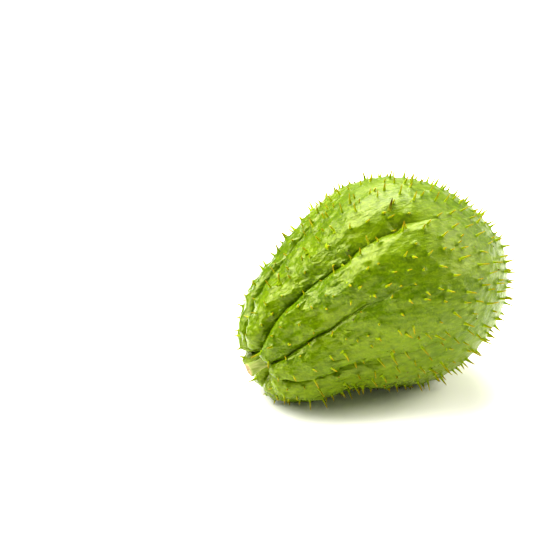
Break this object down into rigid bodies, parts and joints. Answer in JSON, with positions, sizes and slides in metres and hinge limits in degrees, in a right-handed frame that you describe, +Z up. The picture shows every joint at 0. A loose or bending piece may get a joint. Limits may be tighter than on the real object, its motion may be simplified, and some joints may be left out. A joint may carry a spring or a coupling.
{
  "type": "chayote squash",
  "caption": "Pear-shaped green squash lying on its side, with deep lengthwise furrows, scattered soft spines and a cut stub of stem.",
  "frame": {"origin": "middle of the box round the fruit, on the surface it lies on", "axes": "+X from the stem end towards the blossom end, +Z up"},
  "size_m": [0.1232, 0.097, 0.0894],
  "materials": {
    "skin": "waxy yellow-green skin, paler and glossier along the ribs, darker in the furrows",
    "stem": "pale green fibrous stem with a dry tan cut end"
  },
  "bodies": {
    "root": {"fruit": "skin", "stem": "stem"}
  },
  "joints": []
}
